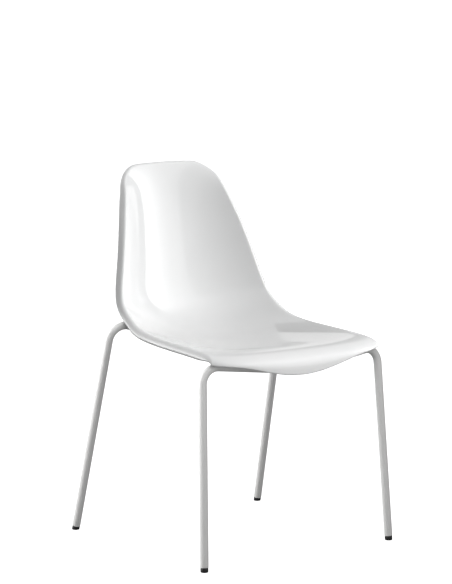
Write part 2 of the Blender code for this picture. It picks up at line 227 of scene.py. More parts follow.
def grainedMaterial(name):
    # moulded nylon and rubber: the fine spark-eroded grain of the mould breaks up the highlight
    colour, second, roughness, grainMm, depthMm, constants = grained[name]
    made, tree, shader, place = newMaterial(name, constants)
    grain = addNode(tree, "ShaderNodeTexNoise", {
        "Vector": place, "Scale": 1000 / grainMm, "Detail": 3.0, "Roughness": 0.6})
    mix = addNode(tree, "ShaderNodeMix", {
        "Factor": grain.outputs["Fac"], colourA: linear(colour), colourB: linear(second)}, data_type="RGBA")
    gloss = addNode(tree, "ShaderNodeMapRange", {
        "Value": grain.outputs["Fac"], "To Min": roughness[0], "To Max": roughness[1]})
    bump = addNode(tree, "ShaderNodeBump", {
        "Height": grain.outputs["Fac"], "Distance": depthMm / 1000, "Strength": 0.5})
    tree.links.new(mix.outputs[colourOut], shader.inputs["Base Color"])
    tree.links.new(gloss.outputs["Result"], shader.inputs["Roughness"])
    tree.links.new(bump.outputs["Normal"], shader.inputs["Normal"])
    return made


plated = {
    # name: (colour, second colour, roughness range, patch size in mm)
    "zincPlatedSteel": ("#B9BEC4", "#A6ACB4", (0.24, 0.40), 2.5),
    "turnedBrass": ("#D0AC62", "#B98F45", (0.25, 0.38), 1.5),
}


def platedMaterial(name):
    # passivated zinc or turned brass: bright metal whose tone and gloss wander over a few millimetres
    colour, second, roughness, patchMm = plated[name]
    made, tree, shader, place = newMaterial(name, {"Metallic": 1.0})
    patch = addNode(tree, "ShaderNodeTexNoise", {
        "Vector": place, "Scale": 1000 / patchMm, "Detail": 4.0, "Roughness": 0.6})
    mix = addNode(tree, "ShaderNodeMix", {
        "Factor": patch.outputs["Fac"], colourA: linear(colour), colourB: linear(second)}, data_type="RGBA")
    gloss = addNode(tree, "ShaderNodeMapRange", {
        "Value": patch.outputs["Fac"], "To Min": roughness[0], "To Max": roughness[1]})
    tree.links.new(mix.outputs[colourOut], shader.inputs["Base Color"])
    tree.links.new(gloss.outputs["Result"], shader.inputs["Roughness"])
    return made


shellLook = mouldedPolymer()
coatLook = powderCoat()
nylonLook = grainedMaterial("blackMouldedNylon")
rubberLook = grainedMaterial("greySpacerRubber")
clipLook = grainedMaterial("naturalNylonClip")
zincLook = platedMaterial("zincPlatedSteel")
brassLook = platedMaterial("turnedBrass")
print("materials made")


# Stations from the top of the back, down the spine and over the seat to the front edge:
# the centre (y, z) and the side edge (x, y, z). They are the CAD's own, but for the last two,
# which round the front lip more fully.
stations = (
    (0.2592, 0.8110, 0.120, 0.2492, 0.8080),  # top edge
    (0.2465, 0.7355, 0.148, 0.2085, 0.7370),
    (0.2300, 0.6555, 0.172, 0.1760, 0.6575),  # shoulder blades
    (0.2170, 0.5800, 0.1915, 0.1550, 0.5830),  # waist
    (0.2020, 0.5150, 0.206, 0.1350, 0.5245),
    (0.1660, 0.4630, 0.2105, 0.0980, 0.4980),  # turn from back to seat
    (0.1050, 0.4410, 0.2155, 0.0540, 0.4795),
    (0.0300, 0.4370, 0.218, -0.0050, 0.4690),  # lowest part of the seat
    (-0.0600, 0.4380, 0.221, -0.0750, 0.4640),
    (-0.1500, 0.4430, 0.223, -0.1500, 0.4595),
    (-0.2150, 0.4470, 0.2245, -0.2050, 0.4535),  # front ridge
    (-0.2585, 0.4315, 0.2255, -0.2280, 0.4445),
    (-0.2625, 0.3970, 0.226, -0.2350, 0.4360),  # lower edge of the front lip
)

shell = {
    "thickness": 0.0055,
    "dishPower": 2.2,  # how late the section turns up towards the sides
    "lipPower": 6.0,  # how square the front edge is in plan
    "topCorner": 0.047,  # radius of the two top corners
    # rolled edges: radius, angle past level, length of the straight skirt after the bend
    "rollBack": (0.0065, 55.0, 0.0088),
    "rollSeat": (0.0138, 90.0, 0.0),
    "rollLip": (0.0080, 12.0, 0.0),  # lower edge of the front lip, only just turned under
    "topSkirt": (0.18, 1.2),  # share of the skirt left along the top edge, station where it is whole
    "lipBlend": 0.6,  # how many stations before the ridge the edge starts turning into the lip's
    "probe": 0.012,  # how far in from the side edge its slope is read
    "turn": (3.6, 6.6),  # station numbers between which the back's edge becomes the seat's
    "setIn": 0.010,  # how far forward the back's side edges sit, ahead of their skirt
    "columns": 64, "rows": 150, "cornerRows": 26,
    "arcSteps": 8,  # steps round each bend of the edge's section
    "bossStart": 5.5,  # station number behind which there is no boss
}
ridge = 10  # station number of the front ridge
lip = 12  # station number of the lip's lower edge


def naturalSpline(points):
    # a smooth curve through evenly numbered points, as a function of the number
    points = np.asarray(points, float)
    count = len(points)
    system = np.eye(count)
    right = np.zeros_like(points)
    for i in range(1, count - 1):
        system[i, i - 1:i + 2] = (1, 4, 1)
        right[i] = 6 * (points[i - 1] - 2 * points[i] + points[i + 1])
    bend = np.linalg.solve(system, right)

    def at(place):
        i = min(max(int(place), 0), count - 2)
        f = place - i
        g = 1 - f
        straight = g * points[i] + f * points[i + 1]
        return straight + ((g ** 3 - g) * bend[i] + (f ** 3 - f) * bend[i + 1]) / 6

    return at


station = naturalSpline(stations)
samples = np.linspace(0, lip, 481)
spine = np.array([station(s)[:2] for s in samples])
distances = np.concatenate(([0.0], np.cumsum(np.hypot(*np.diff(spine, axis=0).T))))


def smoothStep(low, high, value):
    t = min(max((value - low) / (high - low), 0.0), 1.0)
    return t * t * (3 - 2 * t)


def dishPoint(place, x):
    # a point of the upper surface, before the edge is rolled
    yMid, zMid, width, ySide, zSide = station(place)
    share = abs(x) / width
    riseY = riseZ = share ** shell["dishPower"]
    front = max((place - ridge) / (lip - ridge), 0)
    if front > 0:
        riseY += front * (share ** shell["lipPower"] - riseY)
        riseZ += front * ((1 - math.cos(math.pi * share)) / 2 - riseZ)
    ySide -= shell["setIn"] * smoothStep(0.0, 1.0, place) * (1 - smoothStep(*shell["turn"], place))
    return Vector((x, yMid + (ySide - yMid) * riseY, zMid + (zSide - zMid) * riseZ))


def dishNormal(place, x):
    # unit normal towards the sitter
    step = 0.0005
    across = dishPoint(place, x + step) - dishPoint(place, x - step)
    early, late = max(place - 0.02, 0), min(place + 0.02, lip)
    along = dishPoint(late, x) - dishPoint(early, x)
    return along.cross(across).normalized()


def rollAt(place):
    # radius, angle past level and skirt of the edge at a station, and 1 falling to 0 at the lip
    seat = smoothStep(*shell["turn"], place)
    front = smoothStep(ridge - shell["lipBlend"], lip, place)
    back, middle, end = (np.array(shell[key]) for key in ("rollBack", "rollSeat", "rollLip"))
    side = back + (middle - back) * seat
    radius, angle, skirt = side + (end - side) * front
    left, whole = shell["topSkirt"]
    skirt *= left + (1 - left) * smoothStep(0.0, whole, place)
    return radius, math.radians(angle), skirt, 1 - front


def rollWidth(place, slope):
    # how much of the shell's width the rolled edge and its rim take on one side
    radius, past, skirt, fade = rollAt(place)
    turn = slope * fade + past
    rim = shell["thickness"] / 2 * (1 - math.sin(past))
    return radius * (math.sin(turn - slope) + math.sin(slope)) + skirt * math.cos(turn - slope) + rim


def sideSlope(place):
    # how far the surface already leans inwards next to the side edge
    width = station(place)[2]
    normal = dishNormal(place, width - shell["probe"])
    return max(math.asin(min(max(-normal.x, -1), 1)), 0.0)


topInset = rollWidth(0, 0)
lipInset = shell["thickness"] / 2


def innerHalfWidth(place):
    # half the width of the plain surface inside the rolled edge, with the top corners rounded
    width = station(place)[2] - rollWidth(place, sideSlope(place))
    corner = shell["topCorner"] - topInset
    down = np.interp(place, samples, distances) - topInset
    if down >= corner:
        return width
    return width - corner + math.sqrt(max(corner ** 2 - (corner - down) ** 2, 0))


def shellRows():
    # station numbers of the grid's rows: close together over the top corners, the turn and the lip
    corner = shell["topCorner"] - topInset
    angles = np.radians(np.linspace(0, 90, shell["cornerRows"]))
    first = [topInset + corner * (1 - math.cos(a)) for a in angles]
    total = distances[-1] - lipInset
    rest = np.linspace(first[-1], total, shell["rows"] - len(first) + 1)[1:]
    return [float(np.interp(d, distances, samples)) for d in [*first, *rest]]


def edgeProfile(place, slope):
    # the section of the edge in the plane of (outwards, normal): rolled upper side, straight
    # skirt, rounded rim, and the inside of the roll back to the underside
    radius, past, skirt, fade = rollAt(place)
    turn = slope * fade + past
    wall, steps = shell["thickness"], shell["arcSteps"]
    skirtOut, skirtDown = skirt * math.cos(turn), skirt * math.sin(turn)
    points = []
    for i in range(1, steps + 1):
        a = turn * i / steps
        points.append((radius * math.sin(a), -radius * (1 - math.cos(a))))
    endOut, endDown = points[-1][0] + skirtOut, points[-1][1] - skirtDown
    # middle of the wall where the skirt ends
    midOut = endOut - math.sin(turn) * wall / 2
    midDown = endDown - math.cos(turn) * wall / 2
    for i in range(1, steps + 1):
        a = math.pi * i / steps
        across = math.cos(a) * wall / 2
        along = math.sin(a) * wall / 2
        points.append((
            midOut + math.sin(turn) * across + math.cos(turn) * along,
            midDown + math.cos(turn) * across - math.sin(turn) * along,
        ))
    inner = radius - wall
    points.append((inner * math.sin(turn), -wall - inner * (1 - math.cos(turn))))
    for i in range(steps - 1, 0, -1):
        a = turn * i / steps
        points.append((inner * math.sin(a), -wall - inner * (1 - math.cos(a))))
    return points


def upperSheet(bm, rows):
    # lays a grid over the dish, facing the sitter; gives each vertex its station number and normal
    bmesh.ops.create_grid(bm, x_segments=shell["columns"], y_segments=len(rows) - 1, size=0.5)
    placeOf, normalOf = {}, {}
    widths = [innerHalfWidth(place) for place in rows]
    for vertex in bm.verts:
        row = round((0.5 - vertex.co.y) * (len(rows) - 1))
        x = 2 * vertex.co.x * widths[row]
        vertex.co = dishPoint(rows[row], x)
        placeOf[vertex] = rows[row]
        normalOf[vertex] = dishNormal(rows[row], x)
    bmesh.ops.recalc_face_normals(bm, faces=bm.faces)
    bm.normal_update()
    facing = sum(face.normal.dot(normalOf[face.verts[0]]) for face in bm.faces)
    if facing < 0:
        bmesh.ops.reverse_faces(bm, faces=bm.faces)
    return placeOf, normalOf


def rimFrames(rim, placeOf, normalOf):
    # at each rim vertex: its place, the way out in the surface, the normal and the edge's section
    neighbours = {}
    for edge in rim:
        for one, other in (edge.verts, reversed(edge.verts)):
            neighbours.setdefault(one, []).append(other)
    frames = {}
    for vertex, (before, after) in neighbours.items():
        normal = normalOf[vertex]
        arriving = (vertex.co - before.co).normalized()
        leaving = (after.co - vertex.co).normalized()
        out = (arriving + leaving).cross(normal).normalized()
        inside = sum((face.calc_center_median() for face in vertex.link_faces), Vector())
        inside /= len(vertex.link_faces)
        if out.dot(inside - vertex.co) > 0:
            out.negate()
        sideways = Vector((math.copysign(1, vertex.co.x), 0, 0))
        lean = max(math.asin(min(max(-normal.dot(sideways), -1), 1)), 0) * abs(out.x)
        frames[vertex] = (vertex.co.copy(), out, normal, edgeProfile(placeOf[vertex], lean))
    return frames


def lowerSheet(bm, upper, normalOf):
    # the same sheet, one wall further down, facing the floor
    copied = bmesh.ops.duplicate(bm, geom=upper + list(bm.verts) + list(bm.edges))
    bottomOf = {one: other for one, other in copied["vert_map"].items() if one in normalOf}
    for top, bottom in bottomOf.items():
        bottom.co = top.co - normalOf[top] * shell["thickness"]
    faces = [g for g in copied["geom"] if isinstance(g, bmesh.types.BMFace)]
    bmesh.ops.reverse_faces(bm, faces=faces)
    return bottomOf


def sweepEdge(bm, edges, frames):
    # extrudes the rim step by step through the edge's section and returns the last ring
    current = {vertex: vertex for vertex in frames}
    count = len(next(iter(frames.values()))[3])
    for step in range(count):
        made = bmesh.ops.extrude_edge_only(bm, edges=edges)
        newVerts = {g for g in made["geom"] if isinstance(g, bmesh.types.BMVert)}
        moved = {}
        for base, now in current.items():
            for edge in now.link_edges:
                other = edge.other_vert(now)
                if other in newVerts:
                    moved[base] = other
        for base, new in moved.items():
            origin, out, normal, profile = frames[base]
            across, along = profile[step]
            new.co = origin + out * across + normal * along
        current = moved
        edges = [g for g in made["geom"] if isinstance(g, bmesh.types.BMEdge)
                 and g.verts[0] in newVerts and g.verts[1] in newVerts]
    return edges


def makeShell():
    bm = bmesh.new()
    placeOf, normalOf = upperSheet(bm, shellRows())
    upper = list(bm.faces)
    rim = [edge for edge in bm.edges if edge.is_boundary]
    frames = rimFrames(rim, placeOf, normalOf)
    bottomOf = lowerSheet(bm, upper, normalOf)
    edges = sweepEdge(bm, rim, frames)
    lowerRim = {bottomOf[base] for base in frames}
    lowerEdges = [edge for edge in bm.edges if edge.is_boundary and lowerRim.issuperset(edge.verts)]
    bmesh.ops.bridge_loops(bm, edges=edges + lowerEdges)
    outward(bm, 0.000002)
    return meshObject("moulded_shell", bm, shellLook)


moulded = makeShell()
print("shell made:", len(moulded.data.polygons), "faces")


tube = {
    "radius": 0.0090, "wall": 0.0015, "bend": 0.035, "dipBend": 0.060, "end": 0.010,
    "sides": 32, "bendSteps": 14, "edge": 0.0003,
}

# half of each tube's centreline: foot on the floor, top of the leg, end of the level middle
routes = {
    "front": ((0.249, -0.245, 0.0), (0.2333, -0.217, 0.4306), (0.070, -0.241, 0.413)),
    "rear": ((0.253, 0.245, 0.0), (0.2318, 0.1214, 0.4910), (0.092, 0.120, 0.4245)),
}


def legAxis(route):
    return (Vector(route[1]) - Vector(route[0])).normalized()


def ringParts(parts):
    verts = [g for g in parts if isinstance(g, bmesh.types.BMVert)]
    edges = [g for g in parts if isinstance(g, bmesh.types.BMEdge)]
    return verts, edges


def makeTube(name, route):
    # a ring of the tube's section, pushed along each straight and spun round each bend
    foot, top, dip = (Vector(point) for point in route)
    start = foot + legAxis(route) * tube["end"]
    half = [start, top, dip]
    corners = half + [Vector((-p.x, p.y, p.z)) for p in reversed(half)]
    radii = (tube["bend"], tube["dipBend"], tube["dipBend"], tube["bend"])
    bm = bmesh.new()
    turn = up.rotation_difference(legAxis(route)).to_matrix().to_4x4()
    first = bmesh.ops.create_circle(
        bm, segments=tube["sides"], radius=tube["radius"], matrix=Matrix.Translation(start) @ turn)
    verts = first["verts"]
    edges = list({edge for vertex in verts for edge in vertex.link_edges})
    here = start
    for corner, after, radius in zip(corners[1:], corners[2:], radii):
        back = (here - corner).normalized()
        on = (after - corner).normalized()
        halfAngle = back.angle(on) / 2
        reach = radius / math.tan(halfAngle)
        bendStart = corner + back * reach
        pushed = bmesh.ops.extrude_edge_only(bm, edges=edges)
        verts, ring = ringParts(pushed["geom"])
        bmesh.ops.translate(bm, vec=bendStart - here, verts=verts)
        edges = [e for e in ring if e.verts[0] in verts and e.verts[1] in verts]
        centre = corner + (back + on).normalized() * radius / math.sin(halfAngle)
        axis = (-back).cross(on).normalized()
        spun = bmesh.ops.spin(
            bm, geom=verts + edges, cent=centre, axis=axis, dvec=(0, 0, 0),
            angle=math.pi - 2 * halfAngle, steps=tube["bendSteps"], use_merge=False, use_duplicate=False)
        verts, edges = ringParts(spun["geom_last"])
        here = corner + on * reach
        middle = sum((v.co for v in verts), Vector()) / len(verts)
        if (middle - here).length > 0.0005:
            raise ValueError(f"{name} bends the wrong way")
    pushed = bmesh.ops.extrude_edge_only(bm, edges=edges)
    verts, ring = ringParts(pushed["geom"])
    bmesh.ops.translate(bm, vec=corners[-1] - here, verts=verts)
    outward(bm, 0.00001)
    face = min(bm.faces, key=lambda f: (f.calc_center_median() - start).length)
    if face.normal.dot(face.calc_center_median() - start) < 0:
        bmesh.ops.reverse_faces(bm, faces=bm.faces)
    made = meshObject(name, bm, coatLook)
    wall = made.modifiers.new("wall", "SOLIDIFY")
    wall.thickness = tube["wall"]
    wall.offset = -1.0
    wall.use_even_offset = True
    ends = made.modifiers.new("deburred ends", "BEVEL")
    ends.width = tube["edge"]
    ends.segments = 2
    ends.limit_method = "ANGLE"
    ends.angle_limit = math.radians(60)
    return made


for end in routes:
    finishPiece(makeTube(f"{end}_tube_frame", routes[end]), "powder_coated_steel", f"{end}_leg_frame")
print("tube frames made")


rail = {
    "x": 0.050, "width": 0.022, "thickness": 0.004, "overhang": 0.004,
    "edge": 0.0011, "corner": 0.0035,
}
weld = {
    "radius": 0.0019, "ripples": 11, "ripple": 0.07,  # ripple: share of the radius
    "share": 0.94,  # share of the rail's width that a bead runs along
    "out": 0.56,  # tube radii before and behind the front tube's top line
    "sink": 0.0008, "rearSink": 0.0002,  # how deep the beads sit in the corners that they fill
}
fixingY = {"front": -0.130, "rear": 0.088}
railBottom = routes["front"][2][2] + tube["radius"] + gap
railTop = railBottom + rail["thickness"]


def railSpan():
    # from just past the front tube to just short of the rear tube
    front = routes["front"][2][1] - rail["overhang"]
    below = routes["rear"][2][2] - railTop
    rear = routes["rear"][2][1] - math.sqrt(tube["radius"] ** 2 - below ** 2) - gap
    return front, rear


def makeRail(name, x):
    front, rear = railSpan()
    bm = bmesh.new()
    bmesh.ops.create_cube(bm, size=1.0)
    bmesh.ops.scale(bm, vec=(rail["width"], rear - front, rail["thickness"]), verts=bm.verts)
    bmesh.ops.translate(bm, vec=(x, (front + rear) / 2, (railBottom + railTop) / 2), verts=bm.verts)
    upright = [e for e in bm.edges if abs(e.verts[0].co.z - e.verts[1].co.z) > rail["thickness"] / 2]
    bevelEdges(bm, upright, rail["corner"], 5)
    rims = [e for e in bm.edges if abs(e.verts[0].co.z - e.verts[1].co.z) < rail["thickness"] / 4]
    bevelEdges(bm, rims, rail["edge"], 3)
    made = meshObject(name, bm, coatLook)
    holes = bmesh.new()
    for y in fixingY.values():
        bmesh.ops.create_cone(
            holes, cap_ends=True, segments=32, radius1=screw["radius"] + gap,
            radius2=screw["radius"] + gap, depth=3 * rail["thickness"],
            matrix=Matrix.Translation((x, y, railBottom)))
    boolean(made, meshObject("rail_holes", holes, coatLook), "DIFFERENCE")
    return made


def makeBead(name, middle, length, radius):
    # a weld bead along X: a ring pushed along in small ripples, closed at both ends
    bm = bmesh.new()
    turn = Matrix.Rotation(math.pi / 2, 4, "Y")
    steps = weld["ripples"] * 4
    start = Vector(middle) - Vector((length / 2, 0, 0))
    first = bmesh.ops.create_circle(bm, segments=14, radius=radius, cap_ends=False,
                                    matrix=Matrix.Translation(start) @ turn)
    verts = first["verts"]
    edges = list({edge for vertex in verts for edge in vertex.link_edges})
    rings = [verts]
    for _ in range(steps):
        pushed = bmesh.ops.extrude_edge_only(bm, edges=edges)
        verts, ring = ringParts(pushed["geom"])
        edges = [e for e in ring if e.verts[0] in verts and e.verts[1] in verts]
        bmesh.ops.translate(bm, vec=(length / steps, 0, 0), verts=verts)
        rings.append(verts)
    for i, ring in enumerate(rings):
        along = 2 * i / steps - 1
        end = math.sqrt(max(1 - abs(along) ** 6, 0.02))
        wave = 1 - abs(math.sin(math.pi * weld["ripples"] * i / steps))
        size = end * (1 - weld["ripple"] * wave)
        centre = start + Vector((length * i / steps, 0, 0))
        bmesh.ops.scale(bm, vec=(1, size, size), verts=ring, space=Matrix.Translation(-centre))
    bmesh.ops.holes_fill(bm, edges=[e for e in bm.edges if e.is_boundary], sides=0)
    bmesh.ops.recalc_face_normals(bm, faces=bm.faces)
    return meshObject(name, bm, coatLook)


def makeWelds(side, x):
    front, rear = railSpan()
    frontY = routes["front"][2][1]
    length = rail["width"] * weld["share"]
    out, sink, rearSink = tube["radius"] * weld["out"], weld["sink"], weld["rearSink"]
    places = {
        "front_outer": (x, frontY - out, railBottom - sink),
        "front_inner": (x, frontY + out, railBottom - sink),
        "rear_upper": (x, rear - rearSink, railTop + rearSink),
        "rear_lower": (x, rear - rearSink, railBottom + rearSink),
    }
    for key, middle in places.items():
        bead = makeBead(f"weld_{key}_{side}", middle, length, weld["radius"])
        finishPiece(bead, "powder_coated_steel")


screw = {
    "radius": 0.003, "length": 0.016, "headRadius": 0.0055, "headHeight": 0.0033,
    "socketRadius": 0.0023, "socketDepth": 0.002, "tipChamfer": 0.0006,
    "headFlat": 0.46, "headRim": 0.16,  # shares of the head's radius and height
}
washer = {"radius": 0.0065, "thickness": 0.0012, "edge": 0.00022}
pad = {"radius": 0.009, "thickness": 0.003, "edge": 0.0007}
insert = {"radius": 0.0045, "length": 0.0065, "start": 0.0003}
boss = {"radius": 0.009, "foot": 0.0135, "sink": 0.003, "flare": 0.0045, "edge": 0.0006,
        "cutBelow": 0.002}

padBottom = railTop + gap
bossBottom = padBottom + pad["thickness"] + gap
washerBottom = railBottom - gap - washer["thickness"]
headTop = washerBottom - gap


def roundedRing(inner, outer, low, high, edge):
    # the closed section of a ring with its four edges rounded
    points = []
    for radius, height, start in (
        (outer - edge, low + edge, -90), (outer - edge, high - edge, 0),
        (inner + edge, high - edge, 90), (inner + edge, low + edge, 180),
    ):
        for step in range(5):
            a = math.radians(start + 22.5 * step)
            points.append((radius + edge * math.cos(a), height + edge * math.sin(a)))
    return points + points[:1]


def makeRing(name, x, y, section, look):
    bm = bmesh.new()
    spinProfile(bm, section)
    bmesh.ops.translate(bm, vec=(x, y, 0), verts=bm.verts)
    return meshObject(name, bm, look)


def makeScrew(name, x, y):
    # button head with a hexagon socket, pointing up
    radius, height = screw["headRadius"], screw["headHeight"]
    flat = radius * screw["headFlat"]
    rimHeight = height * screw["headRim"]
    domed = height - rimHeight
    points = [(0, headTop - height), (flat, headTop - height)]
    for step in range(1, 9):
        a = math.radians(90 * step / 8)
        points.append((flat + (radius - flat) * math.sin(a), headTop - rimHeight - domed * math.cos(a)))
    points += [(radius, headTop), (screw["radius"], headTop)]
    tip, chamfer = headTop + screw["length"], screw["tipChamfer"]
    points += [(screw["radius"], tip - chamfer), (screw["radius"] - chamfer, tip), (0, tip)]
    bm = bmesh.new()
    spinProfile(bm, points, 40)
    bmesh.ops.translate(bm, vec=(x, y, 0), verts=bm.verts)
    made = meshObject(name, bm, zincLook)
    socket = bmesh.new()
    depth = screw["socketDepth"]
    bmesh.ops.create_cone(
        socket, cap_ends=True, segments=6, radius1=screw["socketRadius"], radius2=screw["socketRadius"],
        depth=2 * depth, matrix=Matrix.Translation((x, y, headTop - height)))
    boolean(made, meshObject("socket_cut", socket, zincLook, False), "DIFFERENCE")
    return made


def makeFixing(end, side, x):
    y = fixingY[end]
    place = f"{end}_{side}"
    bore = screw["radius"] + gap
    section = roundedRing(bore, washer["radius"], washerBottom, washerBottom + washer["thickness"],
                          washer["edge"])
    finishPiece(makeRing(f"flat_washer_{place}", x, y, section, zincLook), "zinc_steel", f"washer_{place}")
    section = roundedRing(bore + gap, pad["radius"], padBottom, padBottom + pad["thickness"], pad["edge"])
    finishPiece(makeRing(f"rubber_pad_{place}", x, y, section, rubberLook), "pad_rubber",
                f"spacer_pad_{place}")
    finishPiece(makeScrew(f"button_screw_{place}", x, y), "zinc_steel", f"screw_{place}")
    made = frame["nodes"][f"threaded_insert_{place}"]
    made.data.materials.clear()
    made.data.materials.append(brassLook)


glide = {
    "radius": 0.0085, "spigotLength": 0.018, "spigotChamfer": 0.0015, "round": 0.0016,
    "start": -0.006,  # below the floor, where the flat sole cuts it off
    "taper": 0.0004, "taperEnd": 0.55,  # slimmer towards the floor, up to this share of the height
    "shoulderEdge": ((0.0, 0.0014), (0.0003, 0.0004), (0.0008, 0.0)),  # in from the side, down from the top
}
bumper = {
    "x": 0.030, "length": 0.016, "below": 0.0035, "above": 0.003, "wall": 0.0028,
    "edge": 0.0024, "gripEdge": 0.0005,
}


def makeGlide(name, route, sign):
    # spun round the leg's own axis, cut flat at the floor, its lower edge rounded
    shoulder = tube["end"] - gap
    radius = glide["radius"]
    spigot = (tube["radius"] - tube["wall"]) - 2 * gap
    top = shoulder + glide["spigotLength"]
    start, chamfer = glide["start"], glide["spigotChamfer"]
    points = [(0, start), (radius - glide["taper"], start), (radius, shoulder * glide["taperEnd"])]
    points += [(radius - inwards, shoulder - down) for inwards, down in glide["shoulderEdge"]]
    points += [(spigot, shoulder), (spigot, top - chamfer), (spigot - chamfer, top), (0, top)]
    bm = bmesh.new()
    spinProfile(bm, points, 40)
    axis = legAxis(route)
    foot = Vector(route[0])
    axis.x *= sign
    foot.x *= sign
    turn = up.rotation_difference(axis).to_matrix().to_4x4()
    bmesh.ops.transform(bm, matrix=Matrix.Translation(foot) @ turn, verts=bm.verts)
    cut = bmesh.ops.bisect_plane(bm, geom=list(bm.verts) + list(bm.edges) + list(bm.faces),
                                 plane_co=(0, 0, 0), plane_no=(0, 0, -1), clear_outer=True)
    rim = [g for g in cut["geom_cut"] if isinstance(g, bmesh.types.BMEdge)]
    sole = bmesh.ops.contextual_create(bm, geom=rim)["faces"]
    rim = [edge for face in sole for edge in face.edges]
    bevelEdges(bm, rim, glide["round"], 5)
    bmesh.ops.recalc_face_normals(bm, faces=bm.faces)
    return meshObject(name, bm, nylonLook)


def makeBumper(name, x, route):
    # a C-shaped nylon clip under a tube, open at the top
    y, z = route[2][1:]
    low = z - tube["radius"] - bumper["below"]
    high = z + bumper["above"]
    width = 2 * (tube["radius"] + bumper["wall"])
    bm = bmesh.new()
    bmesh.ops.create_cube(bm, size=1.0)
    bmesh.ops.scale(bm, vec=(bumper["length"], width, high - low), verts=bm.verts)
    bmesh.ops.translate(bm, vec=(x, y, (low + high) / 2), verts=bm.verts)
    bottom = [e for e in bm.edges if (e.verts[0].co.z + e.verts[1].co.z) / 2 < (low + high) / 2 + 0.0001]
    bevelEdges(bm, bottom, bumper["edge"], 5)
    made = meshObject(name, bm, clipLook)
    bore = bmesh.new()
    bmesh.ops.create_cone(
        bore, cap_ends=True, segments=48, radius1=tube["radius"] + gap, radius2=tube["radius"] + gap,
        depth=3 * bumper["length"],
        matrix=Matrix.Translation((x, y, z)) @ Matrix.Rotation(math.pi / 2, 4, "Y"))
    boolean(made, meshObject("clip_bore", bore, clipLook), "DIFFERENCE")
    edge = made.modifiers.new("soft edges", "BEVEL")
    edge.width = bumper["gripEdge"]
    edge.segments = 2
    edge.limit_method = "ANGLE"
    edge.angle_limit = sharpAngle
    return made


for side, sign in (("left", 1), ("right", -1)):
    railX = sign * rail["x"]
    finishPiece(makeRail(f"flat_rail_{side}", railX), "powder_coated_steel", f"seat_rail_{side}")
    makeWelds(side, railX)
    for end, route in routes.items():
        place = f"{end}_{side}"
        makeFixing(end, side, railX)
        finishPiece(makeGlide(f"nylon_glide_{place}", route, sign), "glide_nylon", f"foot_glide_{place}")
        finishPiece(makeBumper(f"clip_bumper_{place}", sign * bumper["x"], route), "bumper_nylon",
                    f"stacking_bumper_{place}")
print("rails, fixings, glides and bumpers made")


def seatHeight(x, y):
    # height of the seat's upper surface above a point of the floor plan
    low, high = shell["bossStart"], float(ridge)
    for _ in range(40):
        middle = (low + high) / 2
        if dishPoint(middle, x).y > y:
            low = middle
        else:
            high = middle
    return dishPoint(low, x).z


def addBosses(target):
    # flared bosses under the seat, moulded in one with it, with holes for the threaded inserts
    bosses, holes = bmesh.new(), bmesh.new()
    holeTop = bossBottom + insert["start"] + insert["length"] + 3 * gap
    holeBottom = bossBottom - boss["cutBelow"]
    for x in (rail["x"], -rail["x"]):
        for y in fixingY.values():
            top = seatHeight(abs(x), y) - boss["sink"]
            points = [(0, bossBottom), (boss["radius"] - boss["edge"], bossBottom),
                      (boss["radius"], bossBottom + boss["edge"])]
            reach, rise = boss["foot"] - boss["radius"], boss["flare"]
            for step in range(9):
                a = math.radians(90 * step / 8)
                points.append((boss["radius"] + reach * (1 - math.cos(a)), top - rise + rise * math.sin(a)))
            points.append((0, top))
            one = bmesh.new()
            spinProfile(one, points, 48)
            bmesh.ops.translate(one, vec=(x, y, 0), verts=one.verts)
            mesh = bpy.data.meshes.new("one boss")
            one.to_mesh(mesh)
            one.free()
            bosses.from_mesh(mesh)
            bpy.data.meshes.remove(mesh)
            bmesh.ops.create_cone(
                holes, cap_ends=True, segments=40, radius1=insert["radius"] + gap,
                radius2=insert["radius"] + gap, depth=holeTop - holeBottom,
                matrix=Matrix.Translation((x, y, (holeTop + holeBottom) / 2)))
    boolean(target, meshObject("bosses", bosses, shellLook), "UNION")
    boolean(target, meshObject("insert_holes", holes, shellLook), "DIFFERENCE")


addBosses(moulded)
moulded.data.shade_smooth()
moulded.data.set_sharp_from_angle(angle=sharpAngle)
finishPiece(moulded, "shell_polymer", "seat_shell")
print("bosses joined to the shell")


studio = {
    "floorSize": 400.0,
    "floorSeen": 1.0,  # glow of the floor as the camera sees it, so that it comes out white
    "floorTones": ("#E8E8E8", "#EEEEEE"), "floorGrainMm": 2.5,
    "floorBounce": "#949494",  # the duller floor that the chair is lit from
    "base": 0.20,  # even glow of the white room
    "rim": (119.0, 4.0, 12.0, 5.0),  # soft glow behind on the left: azimuth, elevation, tightness, radiance
    "aim": (0.0, 0.15, 0.60),
    # name: azimuth, elevation, distance, width, height, radiance of one side and of the other,
    # and what it lights
    "boxes": {
        "ceiling": (320.0, 90.0, 2.4, 6.5, 6.5, 0.45, 0.45, "all"),
        "key": (318.5, 22.0, 3.0, 2.5, 3.2, 0.8, 3.8, "shell"),
        "front": (300.0, 15.0, 3.2, 3.0, 2.4, 2.8, 2.8, "shell"),
        "side": (24.0, 7.0, 3.2, 4.0, 1.5, 1.1, 0.6, "shell"),
        "tubeLeft": (150.0, 4.0, 3.0, 2.4, 2.6, 5.0, 5.0, "frame"),
        "tubeFront": (262.0, 15.0, 3.2, 4.0, 3.0, 1.0, 1.4, "frame"),
    },
    "topFade": {"key": 0.12},  # share of its light that a box keeps at its upper edge
    "fadeStart": 0.40,  # share of a box's height above which that fading starts
    "matt": ("front",),  # boxes that light the chair but leave no reflection in it
}
camera = {
    "place": (-3.4203, -4.6851, 1.3677), "pitch": 8.09, "heading": -36.01, "lens": 164.9,
}


def direction(azimuth, elevation):
    a, e = math.radians(azimuth), math.radians(elevation)
    return Vector((math.cos(a) * math.cos(e), math.sin(a) * math.cos(e), math.sin(e)))


